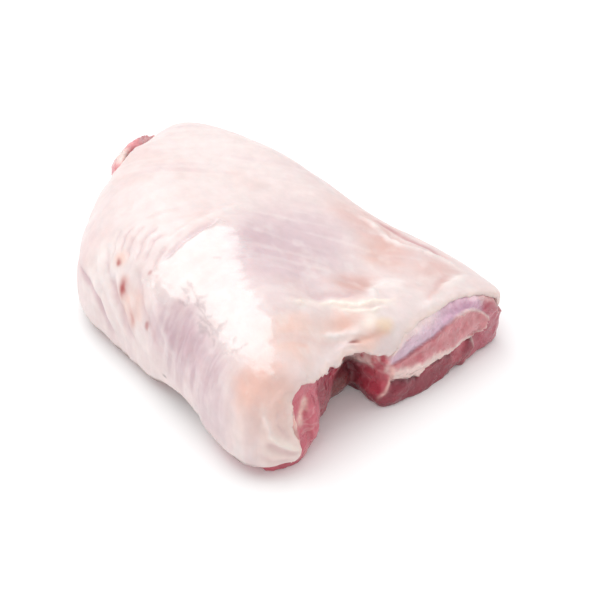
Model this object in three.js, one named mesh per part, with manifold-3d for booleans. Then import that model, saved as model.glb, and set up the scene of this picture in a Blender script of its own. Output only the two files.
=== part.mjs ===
// A raw turkey thigh lying skin side up: one solid of muscle, and the sheet of skin draped over it.
// Millimetres. X runs from the humped left side to the low right side, Y from the cut front end to the
// narrower back end, and Z up. The thigh rests on its own flattened underside.

import * as THREE from "three";
import { mergeVertices } from "three/addons/utils/BufferGeometryUtils.js";
import Module from "manifold-3d";

// Plan of the whole form
const LENGTH = 177;
const FRONT_WIDTH = 146;
const BACK_WIDTH = 106;
const FRONT_SLANT = -4;
const BACK_SLANT = 24;
const PLAN_SQUARENESS = 5;
const CORNER_SWELLS = [
  { azimuth: -160, spread: 14, push: -1.6 },
  { azimuth: -135, spread: 15, push: 6.5 },
  { azimuth: -46, spread: 16, push: 7 },
  { azimuth: 142, spread: 12, push: 3.5 },
];

// Heights of the humped left side and of the flap on the right, and the part of the width between them
const HUMP = { front: 51, middle: 62, back: 60 };
const FLAP = { front: 30, back: 61 };
const HUMP_TO_FLAP = { start: -0.8, end: 1 };
const GIRTH_HEIGHT = 17;

// How square the top turns into the flanks round the thigh, and the underside into the floor
const SHOULDER = [
  { azimuth: -180, value: 2.6 },
  { azimuth: -150, value: 2.6 },
  { azimuth: -126, value: 3.8 },
  { azimuth: -106, value: 2.8 },
  { azimuth: -80, value: 5.5 },
  { azimuth: -45, value: 5 },
  { azimuth: 0, value: 3.4 },
  { azimuth: 110, value: 3.4 },
  { azimuth: 138, value: 2.2 },
  { azimuth: 180, value: 2.6 },
];
const UNDERSIDE_SQUARENESS = 5;
const FLOOR_PRESS = 1.06;

// Soft rises and hollows of the top: place, reach along and across, turn in degrees, and height
const SWELLS = [
  { name: "sag over the notch", x: -27, y: -84, along: 16, across: 20, turn: 0, rise: -10 },
  { name: "hollow behind the fold", x: 24, y: -48, along: 26, across: 15, turn: -18, rise: -3.5 },
  { name: "fold from hump to flap", x: -2, y: -62, along: 26, across: 6, turn: -18, rise: 1.6 },
  { name: "rolled edge of the flap", x: 34, y: -76, along: 34, across: 8, turn: -3, rise: 2 },
  { name: "dip at the flap's corner", x: 1, y: -86, along: 9, across: 8, turn: 0, rise: -7 },
  { name: "fat knob", x: 4, y: -76, along: 7, across: 6, turn: 0, rise: 2 },
  { name: "swell of the right back", x: 54, y: 30, along: 22, across: 30, turn: 0, rise: 7 },
];

// Skin: its thickness, its clearance to the muscle, and the height of its edge round the thigh
const SKIN_THICKNESS = 2.2;
const SKIN_GAP = 0.4;
const COAT = { gap: 0.3, reach: 14, overlap: 0.015 };
const SKIN_EDGE = [
  { azimuth: -180, value: 3 },
  { azimuth: -157, value: 6 },
  { azimuth: -127, value: 4 },
  { azimuth: -90, value: 12 },
  { azimuth: -45, value: 17 },
  { azimuth: -15, value: 29 },
  { azimuth: 10, value: 37 },
  { azimuth: 60, value: 44 },
  { azimuth: 98, value: 47 },
  { azimuth: 110, value: 44 },
  { azimuth: 119, value: 22 },
  { azimuth: 130, value: 3 },
  { azimuth: 180, value: 3 },
];
const SKIN_EDGE_WAVES = [
  { count: 11, swing: 0.9 },
  { count: 17, swing: 0.7 },
];

// Front end: plan line where the skin is cut off, and plan line of the cut muscle behind and under it
const SKIN_FRONT = [
  [-53, -83], [-46, -80.5], [-38, -80.5], [-30, -81], [-22, -80], [-12, -79.5], [-5, -82.5], [3, -84],
  [14, -82.5], [28, -81], [46, -80.5], [58, -82], [68, -82.5], [84, -79],
];
const MEAT_FRONT = [
  [-50, -80], [-44, -78], [-20, -78.5], [2, -81.5], [26, -84], [48, -82.5], [60, -80.5], [70, -77.5], [84, -73],
];
const FRONT_EDGE_LEAN = 0.04;
const FRONT_MARGIN = 40;
const FRONT_STEPS = 48;

// Notch between the two lobes of the front: its corners on the floor, its roof, and how it closes upwards
const NOTCH = { left: [-45, -78], right: [2, -82], apex: [3, -54] };
const NOTCH_ROOF = 41;
const NOTCH_ROOF_SHARE = 0.28;
const NOTCH_APEX_DRIFT = -15;
const NOTCH_STEPS = 6;

// Bellies of the separate muscles that stand out of the cut ends: middle, half sizes and turn about Z, and
// for those that are cut square, the powers of their plan and of their upright section
const MUSCLES = [
  { name: "flap lower", middle: [30, -66, 4.5], half: [30.5, 17.8, 9.5], turn: 0, plan: 8, section: 4 },
  { name: "flap middle", middle: [30.5, -68, 18], half: [29, 16.8, 5.5], turn: 1, plan: 6, section: 3 },
  { name: "flap upper", middle: [35, -68, 26], half: [31, 15.5, 5], turn: 2 },
  { name: "flap border", middle: [61, -65, 12], half: [11, 19, 16.5], turn: 4, plan: 4, section: 4 },
  { name: "flap inner wall", middle: [11, -69, 15], half: [9.5, 12, 13], turn: 0 },
  { name: "hump outer", middle: [-39.5, -69.5, 17], half: [10, 9.5, 18], turn: 30 },
  { name: "hump inner", middle: [-25, -64, 17], half: [10, 8.5, 17], turn: 30 },
  { name: "hump foot", middle: [-53, -70, 1], half: [9, 9.6, 5], turn: 0 },
  { name: "tongue in the notch", middle: [-8, -54.5, 8], half: [9.5, 9.5, 12], turn: 0 },
  { name: "back left", middle: [13, 79.5, 38.5], half: [22.5, 15, 14.5], turn: 18 },
  { name: "back right", middle: [33, 86, 25], half: [23, 14, 17.5], turn: 15 },
  { name: "back lower", middle: [8, 74.5, 10], half: [34, 18, 10.5], turn: 16 },
  { name: "right side", middle: [57, -8, 18], half: [11.5, 52, 14], turn: 6 },
];

const ROUND_PLAN = 3;
const ROUND_SECTION = 2;

// Fineness of the meshes
const RINGS = 20;
const RIM_RING = 0.985;
const EVEN_EDGE = 95;
const EVEN_RINGS = 0.3;
const TOP_SPREAD = 1.7;
const MUSCLE_DETAIL = 3;
const CUT_MUSCLE_DETAIL = 4;
const ROOM = 300;

const HALF_TURN = Math.PI;
const RIM_CORNERS = 6;
const SIXTH_TURN = 2 * HALF_TURN / RIM_CORNERS;

// Span of angles from the crown in which the skin's edge is sought, and the angle past which the muscle
// under a tucked edge is drawn in as deep as under the skin
const EDGE_SEARCH = { above: HALF_TURN / 6, below: HALF_TURN * 0.9, steps: 40 };
const FULL_TUCK = HALF_TURN * 0.6;
const { degToRad, radToDeg, lerp, smoothstep, euclideanModulo } = THREE.MathUtils;

const wasm = await Module();
wasm.setup();

// Distance factor from the middle to the superellipse |x|^power + |y|^power = 1 along (x, y).
function superellipse(x, y, power) {
  return (Math.abs(x) ** power + Math.abs(y) ** power) ** (-1 / power);
}

// Value at a plan angle, eased between the stops given round the thigh.
function valueRound(stops, azimuth) {
  const degrees = radToDeg(azimuth);
  const next = stops.findIndex((stop, index) => index > 0 && degrees <= stop.azimuth);
  const from = stops[next - 1];
  const to = stops[next];
  return lerp(from.value, to.value, smoothstep(degrees, from.azimuth, to.azimuth));
}

function cornerPush(cos, sin) {
  let push = 0;
  for (const corner of CORNER_SWELLS) {
    const angle = degToRad(corner.azimuth);
    const closeness = THREE.MathUtils.clamp(cos * Math.cos(angle) + sin * Math.sin(angle), -1, 1);
    const away = radToDeg(Math.acos(closeness));
    push += corner.push * Math.exp(-((away / corner.spread) ** 2));
  }
  return push;
}

// Height of the crown at a place given as shares of the half width and of the half length.
function crownHeight(across, along) {
  const tilt = (HUMP.back - HUMP.front) / 2;
  const arch = (HUMP.back + HUMP.front) / 2 - HUMP.middle;
  const hump = HUMP.middle + tilt * along + arch * along * along;
  const flap = lerp(FLAP.front, FLAP.back, (along + 1) / 2);
  return lerp(hump, flap, smoothstep(across, HUMP_TO_FLAP.start, HUMP_TO_FLAP.end));
}

function swellHeight(x, y) {
  let height = 0;
  for (const swell of SWELLS) {
    const cos = Math.cos(degToRad(swell.turn));
    const sin = Math.sin(degToRad(swell.turn));
    const u = ((x - swell.x) * cos + (y - swell.y) * sin) / swell.along;
    const v = ((y - swell.y) * cos - (x - swell.x) * sin) / swell.across;
    height += swell.rise * Math.exp(-u * u - v * v);
  }
  return height;
}

// Point of the outer form, or of the form drawn in by an inset, at a plan angle and an angle from the crown.
function formPoint(azimuth, polar, inset) {
  const cos = Math.cos(azimuth);
  const sin = Math.sin(azimuth);
  const flat = Math.sin(polar);
  const rise = TOP_SPREAD * Math.cos(polar);
  const squareness = rise > 0 ? valueRound(SHOULDER, azimuth) : UNDERSIDE_SQUARENESS;
  const level = superellipse(flat, rise, squareness);
  const radius = flat * level;
  const lift = rise * level;
  const plan = superellipse(cos, sin, PLAN_SQUARENESS) * radius;
  const across = cos * plan;
  const along = sin * plan;
  const backShare = (along + 1) / 2;
  const push = cornerPush(cos, sin) * radius;
  const x = across * (lerp(FRONT_WIDTH, BACK_WIDTH, backShare) / 2 - inset) + cos * push;
  const slant = across * lerp(FRONT_SLANT, BACK_SLANT, backShare);
  const y = along * (LENGTH / 2 - inset) + slant + sin * push;
  if (lift <= 0) {
    return new THREE.Vector3(x, y, Math.max(0, GIRTH_HEIGHT * (1 + FLOOR_PRESS * lift)));
  }
  const crown = crownHeight(across, along) + swellHeight(x, y) - inset;
  return new THREE.Vector3(x, y, GIRTH_HEIGHT + (crown - GIRTH_HEIGHT) * lift);
}

function skinEdgeHeight(azimuth) {
  let height = valueRound(SKIN_EDGE, azimuth);
  const looseness = smoothstep(height, SKIN_EDGE[0].value, GIRTH_HEIGHT);
  for (const wave of SKIN_EDGE_WAVES) {
    height += looseness * wave.swing * Math.sin(wave.count * azimuth + wave.count);
  }
  return height;
}

// Angle from the crown at which the form comes down to the skin's edge.
function skinEdgePolar(azimuth) {
  const height = skinEdgeHeight(azimuth);
  let { above, below } = EDGE_SEARCH;
  for (let step = 0; step < EDGE_SEARCH.steps; step += 1) {
    const middle = (above + below) / 2;
    if (formPoint(azimuth, middle, 0).z > height) {
      above = middle;
    } else {
      below = middle;
    }
  }
  return above;
}

// Net of rings from a top pole over a rim of six corners to a bottom pole.
function ringNet() {
  const corners = [0, 0, 1, 0, 0, -1];
  const faces = [];
  for (let corner = 0; corner < RIM_CORNERS; corner += 1) {
    corners.push(Math.cos(corner * SIXTH_TURN), Math.sin(corner * SIXTH_TURN), 0);
    const here = corner + 2;
    const next = (corner + 1) % RIM_CORNERS + 2;
    faces.push(0, here, next, 1, next, here);
  }
  const net = new THREE.PolyhedronGeometry(corners, faces, 1, RINGS - 1);
  net.deleteAttribute("normal");
  net.deleteAttribute("uv");
  return mergeVertices(net);
}

// Ring of a net vertex, from 0 at a pole to 1 on the rim.
function ringShare(vertex, azimuth) {
  const offset = euclideanModulo(azimuth, SIXTH_TURN) - SIXTH_TURN / 2;
  const reach = Math.hypot(vertex.x, vertex.y) * Math.cos(offset) / Math.cos(SIXTH_TURN / 2);
  return reach / (reach + Math.abs(vertex.z));
}

// Share of the way from the crown to the skin's edge, with the last ring drawn close to the edge.
function edgeShare(ring) {
  const lastRing = 1 - 1 / RINGS;
  if (ring <= lastRing) {
    return ring / lastRing * RIM_RING;
  }
  return lerp(RIM_RING, 1, (ring - lastRing) * RINGS);
}

// Net with every vertex moved to the place that a function of its plan angle, ring and side gives.
function shapedNet(place) {
  const net = ringNet();
  const position = net.attributes.position;
  const vertex = new THREE.Vector3();
  for (let index = 0; index < position.count; index += 1) {
    vertex.fromBufferAttribute(position, index);
    const azimuth = Math.atan2(vertex.y, vertex.x);
    const ring = ringShare(vertex, azimuth);
    const side = ring > 1 - 0.5 / RINGS ? 0 : Math.sign(vertex.z);
    const point = place(azimuth, ring, side);
    position.setXYZ(index, point.x, point.y, point.z);
  }
  return net;
}

// Angle from the crown for a ring, even near the crown and following the edge further out.
function ringPolar(ring, edge) {
  const share = edgeShare(ring);
  return share * lerp(degToRad(EVEN_EDGE), edge, smoothstep(share, EVEN_RINGS, 1));
}

function skinPoint(azimuth, ring, side) {
  const inset = SKIN_THICKNESS * (1 - side) / 2;
  return formPoint(azimuth, ringPolar(ring, skinEdgePolar(azimuth)), inset);
}

function meatPoint(azimuth, ring, side) {
  const edge = skinEdgePolar(azimuth);
  const covered = SKIN_THICKNESS + SKIN_GAP;
  if (side >= 0) {
    return formPoint(azimuth, ringPolar(ring, edge), covered);
  }
  const tucked = smoothstep(edge, HALF_TURN / 2, FULL_TUCK);
  return formPoint(azimuth, HALF_TURN - ring * (HALF_TURN - edge), covered * tucked);
}

// Coat round the skin, over it and a little past its edge, in which no muscle lies.
function coatPoint(azimuth, ring, side) {
  const inset = side > 0 ? -COAT.reach : SKIN_THICKNESS + COAT.gap;
  return formPoint(azimuth, ringPolar(ring, skinEdgePolar(azimuth) + COAT.overlap), inset);
}

function solidOf(geometry) {
  geometry.deleteAttribute("normal");
  geometry.deleteAttribute("uv");
  const merged = mergeVertices(geometry);
  const vertProperties = new Float32Array(merged.attributes.position.array);
  const triVerts = new Uint32Array(merged.index.array);
  return new wasm.Manifold(new wasm.Mesh({ numProp: 3, vertProperties, triVerts }));
}

function geometryOf(solid) {
  const mesh = solid.getMesh();
  const geometry = new THREE.BufferGeometry();
  geometry.setAttribute("position", new THREE.BufferAttribute(mesh.vertProperties, 3));
  geometry.setIndex(new THREE.BufferAttribute(mesh.triVerts, 1));
  geometry.computeVertexNormals();
  return geometry;
}

// Block of everything in front of a plan line, its left wall leaning outwards as it rises.
function frontBlock(line) {
  const curve = new THREE.SplineCurve(line.map(([x, y]) => new THREE.Vector2(x, y)));
  const points = curve.getSpacedPoints(FRONT_STEPS);
  const first = points[0];
  const last = points[points.length - 1];
  points.push(new THREE.Vector2(last.x, last.y - FRONT_MARGIN));
  points.push(new THREE.Vector2(first.x, last.y - FRONT_MARGIN));
  const geometry = new THREE.ExtrudeGeometry(new THREE.Shape(points), { depth: ROOM, bevelEnabled: false });
  geometry.translate(0, 0, -ROOM / 2);
  const position = geometry.attributes.position;
  for (let index = 0; index < position.count; index += 1) {
    const leftShare = 1 - smoothstep(position.getX(index), first.x, first.x + FRONT_MARGIN);
    position.setX(index, position.getX(index) - leftShare * FRONT_EDGE_LEAN * position.getZ(index));
  }
  return solidOf(geometry);
}

// Wedge between the two lobes, deep at the floor and closing towards its roof.
function notchWedge() {
  const front = NOTCH.right[1] - FRONT_MARGIN;
  const outline = [
    NOTCH.apex, NOTCH.left, [NOTCH.left[0], front], [NOTCH.right[0], front], NOTCH.right,
  ];
  const shape = new THREE.Shape(outline.map(([x, y]) => new THREE.Vector2(x, y)));
  const geometry = new THREE.ExtrudeGeometry(shape, {
    depth: NOTCH_ROOF + GIRTH_HEIGHT,
    steps: NOTCH_STEPS,
    bevelEnabled: false,
  });
  geometry.translate(0, 0, -GIRTH_HEIGHT);
  const position = geometry.attributes.position;
  for (let index = 0; index < position.count; index += 1) {
    const height = Math.max(0, position.getZ(index) / NOTCH_ROOF);
    const depth = smoothstep(position.getY(index), NOTCH.right[1], NOTCH.apex[1]);
    const closed = depth * height * (1 - NOTCH_ROOF_SHARE) * (NOTCH.right[1] - NOTCH.apex[1]);
    position.setY(index, position.getY(index) + closed);
    position.setX(index, position.getX(index) + depth * height * NOTCH_APEX_DRIFT);
  }
  return solidOf(geometry);
}

function muscleBelly({ middle, half, turn, plan = ROUND_PLAN, section = ROUND_SECTION }) {
  const detail = section > ROUND_SECTION ? CUT_MUSCLE_DETAIL : MUSCLE_DETAIL;
  const geometry = new THREE.IcosahedronGeometry(1, detail);
  const position = geometry.attributes.position;
  for (let index = 0; index < position.count; index += 1) {
    const x = position.getX(index);
    const y = position.getY(index);
    const z = position.getZ(index);
    const reach = Math.hypot(x, y);
    const upright = superellipse(reach, z, section);
    const level = reach > 0 ? upright * reach * superellipse(x, y, plan) : upright;
    position.setXYZ(index, x * level, y * level, z * upright);
  }
  geometry.scale(...half);
  geometry.rotateZ(degToRad(turn));
  geometry.translate(...middle);
  return solidOf(geometry);
}

function underFloor() {
  const geometry = new THREE.BoxGeometry(ROOM, ROOM, ROOM);
  geometry.translate(0, 0, -ROOM / 2);
  return solidOf(geometry);
}

function makeMeat() {
  let meat = solidOf(shapedNet(meatPoint));
  meat = meat.subtract(frontBlock(MEAT_FRONT));
  meat = meat.subtract(notchWedge());
  const coat = solidOf(shapedNet(coatPoint)).subtract(skinFrontBlock(-COAT.gap));
  for (const muscle of MUSCLES) {
    meat = meat.add(muscleBelly(muscle).subtract(coat));
  }
  return meat.subtract(underFloor());
}

function skinFrontBlock(forward) {
  return frontBlock(SKIN_FRONT).translate([-forward, forward, 0]);
}

function makeSkin() {
  return solidOf(shapedNet(skinPoint)).subtract(skinFrontBlock(0));
}

function makeMesh(name, solid, color, roughness) {
  const material = new THREE.MeshStandardMaterial({ color, roughness, metalness: 0 });
  const mesh = new THREE.Mesh(geometryOf(solid), material);
  mesh.name = name;
  return mesh;
}

const thigh = new THREE.Group();
thigh.add(makeMesh("meat", makeMeat(), 0xb4646e, 0.45));
thigh.add(makeMesh("skin", makeSkin(), 0xf0dad6, 0.4));

// The origin is under the middle of the whole, on the floor.
const box = new THREE.Box3().setFromObject(thigh);
const middle = box.getCenter(new THREE.Vector3());
thigh.position.set(-middle.x, -middle.y, -box.min.z);

export default thigh;
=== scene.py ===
"""A raw turkey thigh, skin side up: its looks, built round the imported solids.

Places and sizes are in millimetres, +Z up, measured from ORIGIN, and become metres in the frame of the
solids where a mesh is written. Each of the two pieces is a fine copy of its solid, shaped further by folds,
wrinkles and grain, and coloured by where a point lies on the thigh.

A span is two values of a measure, for a weight of 0 at the first, 1 at the second and smooth between. A band
or an area is a middle and a reach. A texture is a height, a wavelength (one, or one for each axis), a seed
and, if not 3, its octaves. Flecks are a wavelength, a seed and a span.
"""

import math

import bmesh
import bpy
import numpy as np
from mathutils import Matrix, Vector, kdtree


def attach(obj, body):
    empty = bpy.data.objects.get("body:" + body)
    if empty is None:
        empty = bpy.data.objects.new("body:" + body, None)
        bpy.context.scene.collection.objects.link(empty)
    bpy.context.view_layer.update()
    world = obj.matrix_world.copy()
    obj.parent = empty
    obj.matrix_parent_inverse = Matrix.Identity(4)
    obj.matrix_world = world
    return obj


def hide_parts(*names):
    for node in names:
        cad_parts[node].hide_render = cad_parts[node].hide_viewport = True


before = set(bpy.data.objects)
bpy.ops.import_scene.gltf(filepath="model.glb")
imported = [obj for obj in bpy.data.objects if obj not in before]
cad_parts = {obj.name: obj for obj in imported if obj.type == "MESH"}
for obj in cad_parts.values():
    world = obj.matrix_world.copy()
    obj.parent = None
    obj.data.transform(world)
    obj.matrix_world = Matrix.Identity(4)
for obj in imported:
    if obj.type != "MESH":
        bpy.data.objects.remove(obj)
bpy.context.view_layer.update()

MM = 0.001
WELD = 0.00001
ORIGIN = (-0.7, -0.4, 0.0)

# Camera: the photograph's viewing angle. It and the softboxes face the target, which is in metres
TARGET = (Vector((3.2, -34.6, 25.0)) + Vector(ORIGIN)) * MM
CAMERA_AZIMUTH = -42.96
CAMERA_ELEVATION = 37.0
CAMERA_DISTANCE = 760.0
CAMERA_LENS = 108.0
CAMERA_CLIP = 0.01

# Studio
FLOOR_HALF = 3.0
FLOOR_SURFACE = {
    "Base Color": (0.90, 0.90, 0.90, 1),
    "Roughness": 0.9,
    "Specular IOR Level": 0.1,
    "Emission Color": (1, 1, 1, 1),
    "Emission Strength": 0.08,
}
SURROUND_STRENGTH = 0.59

# Softboxes: direction, distance, width and depth, and power
SOFTBOXES = {
    "key": ((-0.08, 0.42, 0.90), 0.85, (1.15, 1.15), 6.4),
    "left_fill": ((-0.65, -0.10, 0.75), 1.4, (1.2, 1.2), 4.6),
    "right_fill": ((0.90, -0.25, 0.40), 1.6, (1.6, 1.6), 7.0),
}

# Noise: how a cell of its lattice gives a number
HASH_AXES = (127.1, 311.7, 74.7)
HASH_SEED = 53.3
HASH_SCALE = 43758.5453

# How a stroke fades in from its ends, as a span of shares of its length, and how flat a patch is
STROKE_ENDS = (-0.02, 0.22)
PATCH_FLATNESS = 1.5

# Fineness of the two meshes, and smoothing: the even steps draw in and let out, so that nothing shrinks
SKIN_VOXEL = 1.45
MEAT_VOXEL = 1.1
SKIN_SMOOTHING = 20
MEAT_SMOOTHING = 14
SKIN_FINISH = 6
EVEN_STEPS = (0.5, -0.52)
ROUNDING_STEPS = (0.5,)
THIGH_CORE = (0, 0, 8)
SHARP_EDGE = math.radians(48)

# Courses that both a fold and a colour follow
CREASE = [(-46, -4, 52), (-37, -4, 56), (-28, -4, 58), (-19, -4, 59), (-13, -4, 58)]
FLAP_FOLD = [(-28, -58, 53), (-18, -62, 51), (-9, -66, 47), (0, -73, 46), (14, -77, 43), (22, -76, 41)]
FLAP_FOLD_LOW = [(-12, -66, 48), (-5, -72, 46), (2, -78, 44), (10, -79, 43)]
CLEFT_RIDGE_HIGHLIGHT = [(-22, -74, 42), (-14, -78, 40), (-5, -83, 41)]
CLEFT_SLIT = [(-15, -83, 38), (-9, -83, 37)]
KNOB_SHADOW_LINE = [(-12, -83, 38), (-4, -85, 39), (5, -88, 38)]
RIGHT_RIDGE = [
    (50, -20, 41), (50, -29, 40), (47, -43, 39), (50, -51, 38), (55, -57, 37), (58, -65, 34), (62, -76, 32),
]
RIGHT_STRIP = [(55, -26, 38), (55, -38, 37), (56, -46, 37), (60, -55, 35), (62, -66, 33)]
LEFT_FOLD = [(-53, 46, 30), (-58, 30, 28), (-59, 22, 23), (-60, 13, 11)]
FLAP_GROOVE = [(28, -83, 37), (40, -79, 36), (52, -73, 35)]
LIP_RIDGE = [(24, -86, 37), (34, -82, 36), (45, -79, 35), (55, -78, 34), (62, -77, 32)]
CORNER_FOLD = [(-65, -89, 25), (-62, -92, 21.5), (-59.5, -93, 19), (-57, -94, 16), (-55, -94.5, 13)]
BULGE_EDGE = [(7, -74, 46), (15, -66, 41), (23, -65, 40), (30, -68, 40)]

# Folds and wrinkles of the skin: half width, height (below zero sinks), course
SKIN_LINES = [
    (1.3, -1.0, CREASE),
    (2.0, 0.7, [(-45, 1, 53), (-36, 1, 57), (-24, 1, 59), (-12, 0, 58), (8, 2, 55)]),
    (0.9, -0.7, [(-28, 0, 59), (-37, 0, 57), (-45, -1, 53), (-49, -2, 49)]),
    (0.9, -0.7, [(-33, 5, 57), (-40, 7, 55), (-44, 5, 53), (-49, 4, 49)]),
    (0.9, -0.8, [(-33, 13, 56), (-41, 12, 54), (-46, 10, 51), (-51, 6, 48)]),
    (0.9, -0.7, [(-36, 18, 56), (-42, 18, 53), (-47, 16, 49), (-51, 12, 47)]),
    (0.9, -0.7, [(-39, 22, 54), (-44, 22, 51), (-49, 19, 48), (-51, 17, 46)]),
    (0.9, -0.6, [(-41, 27, 52), (-46, 26, 48), (-50, 23, 46), (-53, 21, 41)]),
    (1.5, -0.6, [(-50, 5, 49), (-54, 0, 43), (-59, -8, 37), (-62, -18, 32), (-63, -25, 24)]),
    (1.7, 0.6, [(-52, 9, 46), (-57, 5, 40), (-60, -3, 33), (-62, -11, 26), (-64, -18, 20)]),
    (1.7, 0.6, [(-51, -2, 48), (-55, -9, 44), (-60, -18, 39), (-61, -25, 33), (-64, -34, 26)]),
    (1.5, -0.6, [(-54, 18, 42), (-57, 14, 34), (-60, 6, 27), (-61, -1, 20)]),
    (1.4, -0.5, [(-68, -86, 16), (-64, -90, 11), (-58, -94, 9)]),
    (1.3, 1.3, CORNER_FOLD),
    (1.7, -0.8, [(-66, -88, 20), (-62, -91.5, 17), (-59, -93, 14.5), (-57, -94, 12)]),
    (1.6, -1.2, LEFT_FOLD),
    (2.5, 0.9, [(-53, 38, 35), (-56, 28, 32), (-58, 18, 24), (-60, 9, 14)]),
    (2.2, 0.7, [(-46, 35, 46), (-54, 25, 37), (-59, 11, 27), (-61, -2, 14)]),
    (1.4, -0.6, [(-45, 32, 48), (-53, 22, 40), (-58, 8, 31), (-62, -8, 17)]),
    (2.0, 0.5, [(-52, 20, 43), (-58, 5, 35), (-62, -11, 23), (-64, -20, 16)]),
    (1.0, 1.2, FLAP_FOLD),
    (0.9, -0.9, [(-14, -65, 49), (-7, -70, 46.5), (1, -76, 45), (11, -78.5, 43)]),
    (1.0, 0.9, FLAP_FOLD_LOW),
    (2.2, -0.8, [(-16, -58, 50), (-4, -64, 47), (6, -67, 44)]),
    (1.4, 1.0, BULGE_EDGE),
    (1.8, 1.0, LIP_RIDGE),
    (1.6, 0.9, CLEFT_RIDGE_HIGHLIGHT),
    (0.9, -1.1, CLEFT_SLIT),
    (1.5, -0.8, KNOB_SHADOW_LINE),
    (1.3, 1.0, RIGHT_RIDGE),
    (1.4, -0.6, RIGHT_STRIP),
    (1.8, -0.8, FLAP_GROOVE),
    (0.9, 0.7, [(52, -33, 39), (52, -44, 38), (54, -53, 37), (57, -62, 35), (60, -71, 33)]),
    (0.9, 0.6, [(58, -31, 36), (58, -42, 35), (61, -50, 33), (63, -61, 31)]),
    (1.5, 0.9, [(-62, -84, 38), (-64, -88, 30), (-63, -91, 23), (-58, -94, 15)]),
    (1.0, -0.5, [(-59, -87, 38), (-60, -91, 29), (-57, -94, 20)]),
]

# Soft rises and hollows of the skin: height, middle, reach
SKIN_SWELLS = [
    (3.0, (-10, -14, 57), 13),
    (1.5, (-47, -86, 42), 12),
    (1.3, (26, -68, 40), 8),
    (1.5, (0, -83, 42), 6),
    (-1.0, (14, -60, 42), 9),
    (-0.7, (39, -48, 40), 8),
    (-1.0, (-61, -30, 38), 9),
    (0.8, (-66, -48, 32), 9),
]

# Regions of the skin, as spans along the axes; the shoulder is a band along Y, and the lump an area
SHOULDER_X = (-6, -34)
SHOULDER_Y = (12, 18)
FLANK_X = (-40, -54)
FLANK_Z = (4, 12)
LUMP = ((-62, -40, 36), (14, 26, 16))
CURTAIN_X = (-40, -55)
CURTAIN_Y = (-70, -86)
RIGHT_X = (42, 54)

# Textures of the skin's relief
SKIN_WAVES = ((0.5, 26, 1, 1), (0.25, 11, 2, 1))
SHOULDER_PLEATS = (1.1, (6.5, 3, 3), 5, 1)
FLANK_PLEATS = (0.9, (9, 4, 4), 6, 1)
LUMP_CRUMPLE = (0.6, (7, 5, 7), 9)
LUMP_RIPPLE = (0.4, (3, 2, 2), 12, 1)
CURTAIN_RIPPLE = (0.5, (7, 7, 26), 7, 1)
RIGHT_RIPPLE = (0.5, (3.6, 34, 5), 8, 1)

# How the skin hangs: where its wrinkles bend, how softly and how far, and how they stretch lengthways
DRAPE_RIDGE_X = -26
DRAPE_BLEND = 8
DRAPE_TURN = 0.93
DRAPE_STRETCH = 0.12

# How far outlines wander: swing, wavelength, seed
LINE_WANDER = (0.9, 6, 14)
PATCH_WANDER = (2.6, 10, 21)
SCRATCH_WANDER = (1.4, 5, 14)
RIM_WANDER = (1, 4.5, 41)
MEAT_WANDER = (0.8, 5, 77)
SIDE_WANDER = (3, 16, 101)
PATCH_STREAKS = (1.6, (3.5, 4, 4), 30, 1)

# The skin's rim: rounding, relief that starts past it, a flare of its inner face, and its ragged swing
RIM_ROUNDING = 3.5
RIM_ROUNDS = 36
OUTSIDE = (0, 6)
RELIEF_FROM_RIM = (0.5, 4)
RIM_FLARE = 0.8
RIM_FLARE_REACH = 5
RIM_SWING = 0.6
RIM_SWING_REACH = 3
LOBE_RIM_SWING = 0.6
LOBE_RIM_X = (-42, -48)
LOBE_RIM_Y = (-74, -84)
SKIN_FLOOR = 0.1

# Places where the skin is drawn up or out: move, middle, reach
SKIN_SHIFTS = [
    ((0, 3.2, 3.6), (-28, -87, 32), (9, 6, 7)),
    ((0, 2.4, 3.2), (-16, -86, 33), (6, 6, 7)),
    ((0, 2.6, 1.4), (0, 70, 49), (16, 9, 9)),
    ((-0.5, 0.6, 2.0), (-58, -94, 6), (5, 6, 6)),
    ((3.0, -2.5, -0.6), (-55, -94, 11), (5, 5, 9)),
    ((0, -0.8, -2.0), (-38, -87, 37), (5, 5, 6)),
    ((1.5, -1.4, 0), (64, -89, 28), 7),
]

# The hem on the left that stands off the floor, and how far the meat draws back behind it
HEM_LIFT = 5.0
HEM_TUCK = 9.0
HEM_X = (-50, -57)
HEM_Y = (-36, 17)
HEM_Z = (18, 5)

# Skin colours, as sRGB
SKIN_BASE = (224, 207, 205)
SKIN_WHITE = (233, 222, 219)
LILAC = (203, 178, 184)
DEEP_LILAC = (190, 160, 168)
PEACH = (232, 192, 178)
SALMON = (222, 172, 156)
CREAM = (246, 233, 221)
YELLOW_FAT = (240, 208, 168)
WARM_PINK = (208, 164, 156)
RIM_FAT = (238, 214, 205)
BLOOD = (162, 22, 27)
SCRATCH = (166, 148, 151)
# Painted shade for the grooves of folds
PAINTED_FOLD_SHADE = (196, 160, 164)
STRIP_RED = (190, 122, 128)
HEM_SHADE = (112, 88, 82)
DARK_DOT = (70, 40, 38)

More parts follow.
